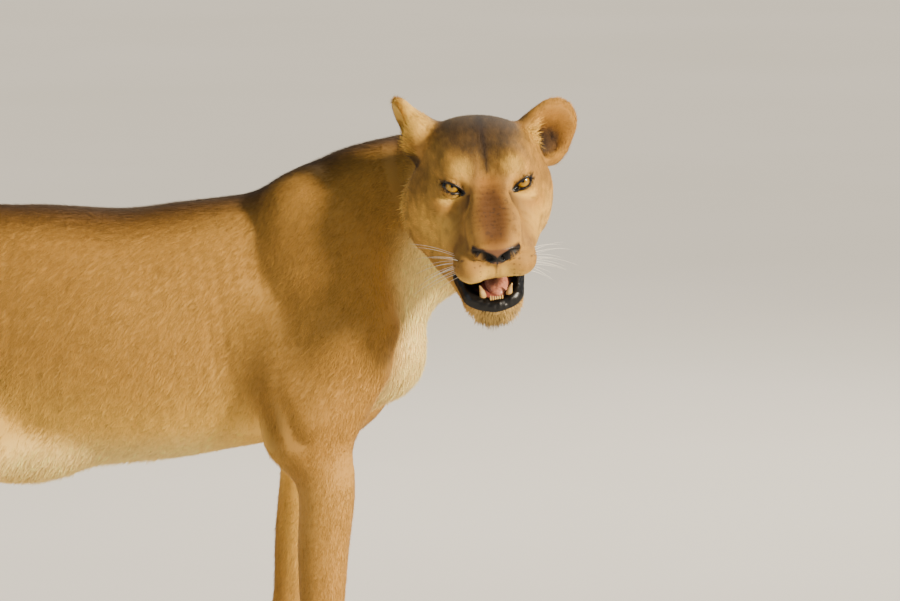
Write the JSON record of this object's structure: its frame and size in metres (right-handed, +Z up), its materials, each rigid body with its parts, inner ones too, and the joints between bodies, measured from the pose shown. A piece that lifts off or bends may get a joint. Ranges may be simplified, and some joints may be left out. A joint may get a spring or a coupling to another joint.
{
  "type": "lioness",
  "caption": "Life-size standing lioness, still, body level and head turned to her right towards the viewer, mouth slightly open.",
  "frame": {"origin": "on the floor, under the middle of the animal's bounding box", "axes": "+X the way the body faces, +Y her left, +Z up; the head is turned towards -Y"},
  "size_m": [1.7516, 0.5758, 1.1263],
  "materials": {
    "belly": "short coat of hair",
    "canine_left": "yellowed tooth enamel",
    "canine_right": "yellowed tooth enamel",
    "chest": "short coat of hair",
    "ear_left": "short coat of hair",
    "ear_right": "short coat of hair",
    "eye_left": "wet amber eye",
    "eye_right": "wet amber eye",
    "foreleg_left": "short coat of hair",
    "foreleg_right": "short coat of hair",
    "forepaw_left": "short coat of hair",
    "forepaw_right": "short coat of hair",
    "head": "short coat of hair",
    "hindpaw_left": "short coat of hair",
    "hindpaw_right": "short coat of hair",
    "hock_left": "short coat of hair",
    "hock_right": "short coat of hair",
    "incisors": "yellowed tooth enamel",
    "jaw": "short coat of hair",
    "neck": "short coat of hair",
    "nose": "bare pinkish brown nose leather",
    "rump": "short coat of hair",
    "shank_left": "short coat of hair",
    "shank_right": "short coat of hair",
    "shoulder_left": "short coat of hair",
    "shoulder_right": "short coat of hair",
    "tail_lower": "short coat of hair",
    "tail_middle": "short coat of hair",
    "tail_root": "short coat of hair",
    "tail_tuft": "short coat of hair",
    "thigh_left": "short coat of hair",
    "thigh_right": "short coat of hair",
    "tongue": "moist pink tongue"
  },
  "bodies": {
    "root": {"belly": "belly", "canine_left": "canine_left", "canine_right": "canine_right", "chest": "chest", "ear_left": "ear_left", "ear_right": "ear_right", "eye_left": "eye_left", "eye_right": "eye_right", "foreleg_left": "foreleg_left", "foreleg_right": "foreleg_right", "forepaw_left": "forepaw_left", "forepaw_right": "forepaw_right", "head": "head", "hindpaw_left": "hindpaw_left", "hindpaw_right": "hindpaw_right", "hock_left": "hock_left", "hock_right": "hock_right", "incisors": "incisors", "jaw": "jaw", "neck": "neck", "nose": "nose", "rump": "rump", "shank_left": "shank_left", "shank_right": "shank_right", "shoulder_left": "shoulder_left", "shoulder_right": "shoulder_right", "tail_lower": "tail_lower", "tail_middle": "tail_middle", "tail_root": "tail_root", "tail_tuft": "tail_tuft", "thigh_left": "thigh_left", "thigh_right": "thigh_right", "tongue": "tongue"}
  },
  "joints": []
}
